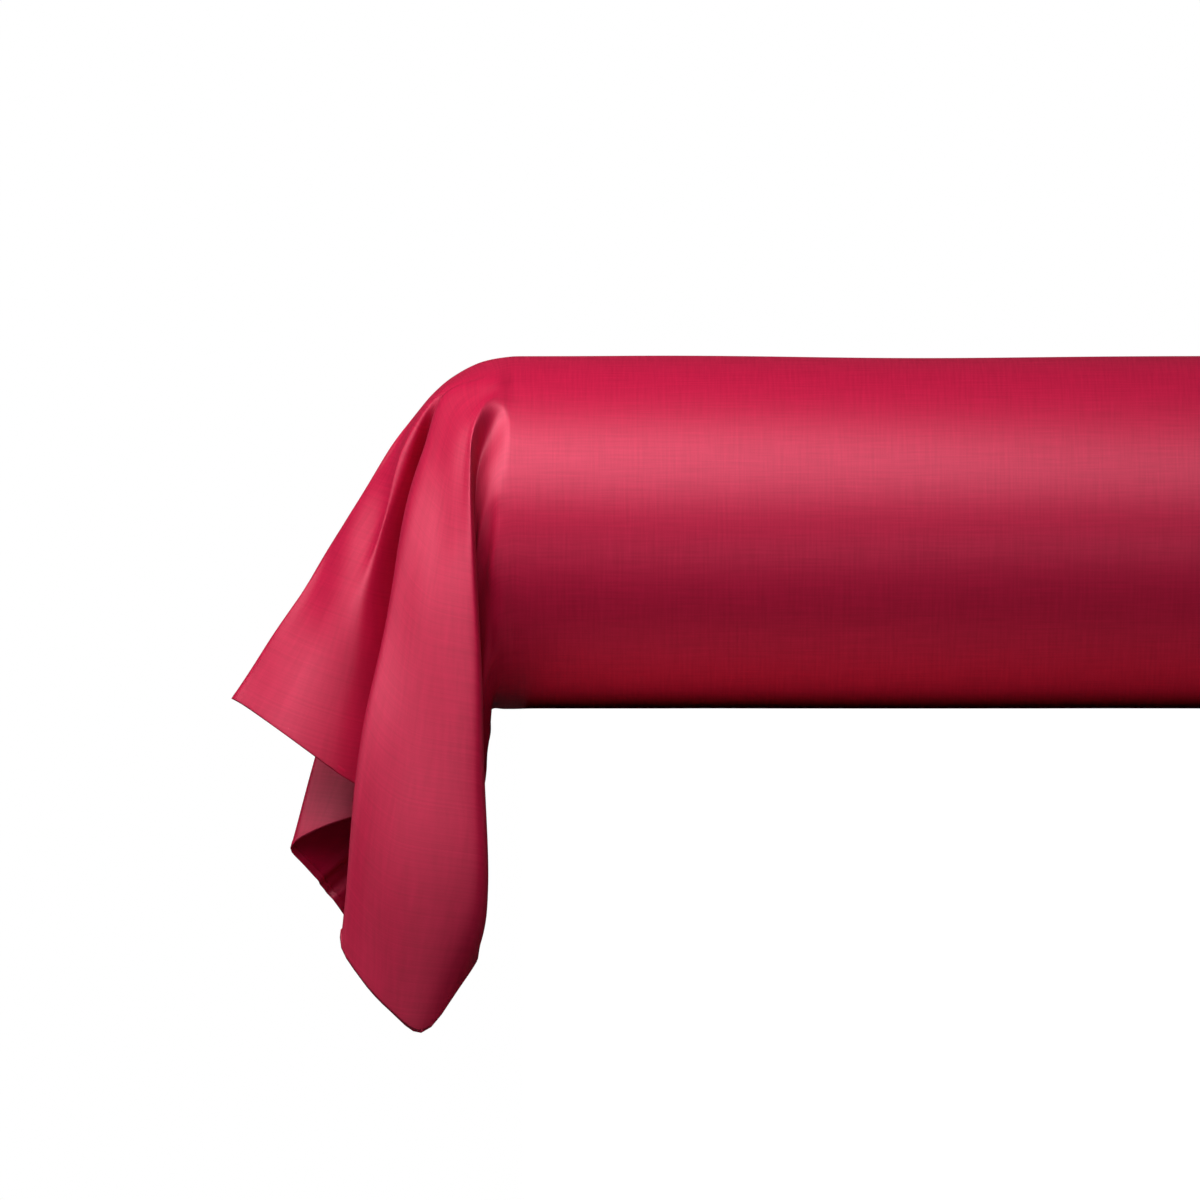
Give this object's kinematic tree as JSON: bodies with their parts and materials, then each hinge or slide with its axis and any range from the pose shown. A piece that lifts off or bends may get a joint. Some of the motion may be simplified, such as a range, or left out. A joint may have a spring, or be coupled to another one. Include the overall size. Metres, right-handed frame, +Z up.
{
  "type": "bolster cushion in a loose case",
  "caption": "Round bolster cushion in a crimson satin case whose open ends are longer than the cushion and hang over its shoulders in soft pleats.",
  "frame": {"origin": "middle of the narrow flat along the underside, where the bolster rests on its ledge", "axes": "+X along the bolster toward its right end, +Z up; the picture looks along +Y"},
  "size_m": [1.656, 0.3046, 0.5222],
  "materials": {
    "satin": "satin",
    "satin_hem": "satin",
    "ticking": "matte",
    "seam_thread": "matte",
    "fibre": "matte"
  },
  "bodies": {
    "root": {"fibre_filling": "fibre", "ticking_tube": "ticking", "ticking_end_left": "ticking", "ticking_end_right": "ticking", "ticking_seam_left": "seam_thread", "ticking_seam_right": "seam_thread", "case_body": "satin", "case_end_left": "satin", "case_end_right": "satin", "case_hem_left": "satin_hem", "case_hem_right": "satin_hem"}
  },
  "joints": []
}
